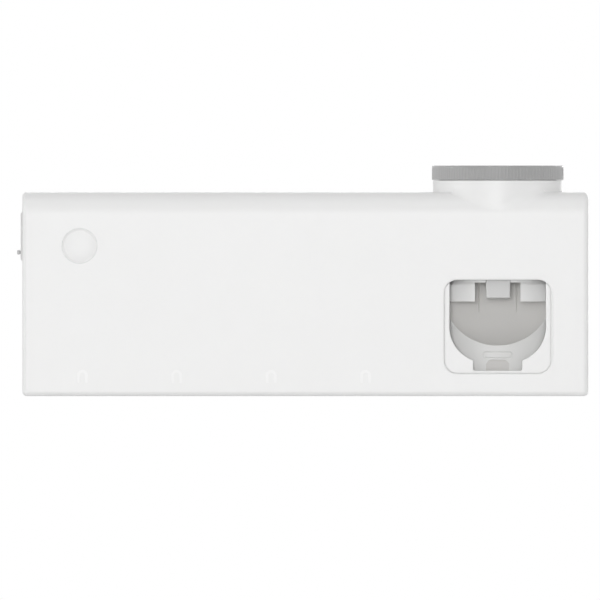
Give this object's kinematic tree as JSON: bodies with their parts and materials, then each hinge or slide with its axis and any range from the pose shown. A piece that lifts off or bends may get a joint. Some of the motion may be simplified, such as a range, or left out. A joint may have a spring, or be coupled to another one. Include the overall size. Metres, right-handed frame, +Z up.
{
  "type": "toothbrush sterilizer",
  "caption": "Wall-hung toothbrush sterilizer: a wide box with brush ports in its underside and a round lift-out paste dispenser worked by a push plate behind a window.",
  "frame": {"origin": "middle of the adhesive pad's wall face, level with the middle of the housing's height", "axes": "+Y into the wall, -Y towards the room, +X along the housing to the viewer's right, +Z up"},
  "size_m": [0.2861, 0.0698, 0.1153],
  "materials": {
    "white_plastic": "fine satin, white",
    "grey_plastic": "satin, mid grey",
    "warm_plastic": "satin, warm light grey",
    "cloud_plastic": "smooth, pale grey",
    "dark_plastic": "satin, near black",
    "silicone": "soft, pale grey",
    "steel": "plain",
    "bright_metal": "bright sheet",
    "board": "solder mask, green",
    "cell_wrap": "shrink wrap, blue",
    "lamp_glass": "clear tube",
    "foam": "foam tape, pale grey"
  },
  "bodies": {
    "wall": {"wall_bracket": "white_plastic", "adhesive_pad": "foam"},
    "housing": {"front_shell": "white_plastic", "rear_cover": "white_plastic", "cover_screw_1": "steel", "cover_screw_2": "steel", "cover_screw_3": "steel", "cover_screw_4": "steel", "cover_screw_5": "steel", "cover_screw_6": "steel", "window_bezel": "white_plastic", "switch_plate": "white_plastic", "switch_body": "steel", "charge_socket": "steel", "tact_switch": "dark_plastic", "circuit_board": "board", "board_screw_1": "steel", "board_screw_2": "steel", "battery_cell": "cell_wrap", "battery_cradle": "dark_plastic", "lamp_driver": "board", "chamber_liner": "bright_metal", "lamp_reflector": "bright_metal", "uv_lamp_tube": "lamp_glass", "lamp_end_left": "dark_plastic", "lamp_end_right": "dark_plastic", "port_grommet_1": "silicone", "port_grommet_2": "silicone", "port_grommet_3": "silicone", "port_grommet_4": "silicone"},
    "button": {"start_button": "white_plastic"},
    "power_switch": {"power_switch_knob": "dark_plastic"},
    "dispenser": {"grip_ring": "grey_plastic", "module_sleeve": "cloud_plastic", "pump_block": "cloud_plastic", "nozzle": "cloud_plastic", "tube_seal": "silicone", "check_valve": "silicone", "hinge_pin": "steel", "return_spring": "steel"},
    "plate": {"push_plate": "warm_plastic"},
    "plunger": {"plunger": "cloud_plastic", "plunger_seal": "silicone"}
  },
  "joints": [
    {"name": "housing_lift", "type": "slide", "parent": "wall", "child": "housing", "axis": [0, 0, 1], "range_m": [0, 0.008]},
    {"name": "start_button_press", "type": "slide", "parent": "housing", "child": "button", "axis": [0, 1, 0], "range_m": [0, 0.0008], "stiffness_N_per_m": 300},
    {"name": "power_switch_slide", "type": "slide", "parent": "housing", "child": "power_switch", "axis": [0, 0, 1], "range_m": [0, 0.004]},
    {"name": "dispenser_lift", "type": "slide", "parent": "housing", "child": "dispenser", "axis": [0, 0, 1], "range_m": [0, 0.1]},
    {"name": "push_plate_swing", "type": "hinge", "parent": "dispenser", "child": "plate", "pos_m": [0.0962, -0.0465, 0.009], "axis": [1, 0, 0], "range_deg": [0, 18], "stiffness_Nm_per_rad": 0.03},
    {"name": "plunger_slide", "type": "slide", "parent": "dispenser", "child": "plunger", "axis": [0, 0, 1], "range_m": [0, 0.0036], "deforming": ["return_spring"]}
  ],
  "couplings": [
    {"joint": "plunger_slide", "follows": "push_plate_swing", "m_per_rad": 0.0112}
  ]
}
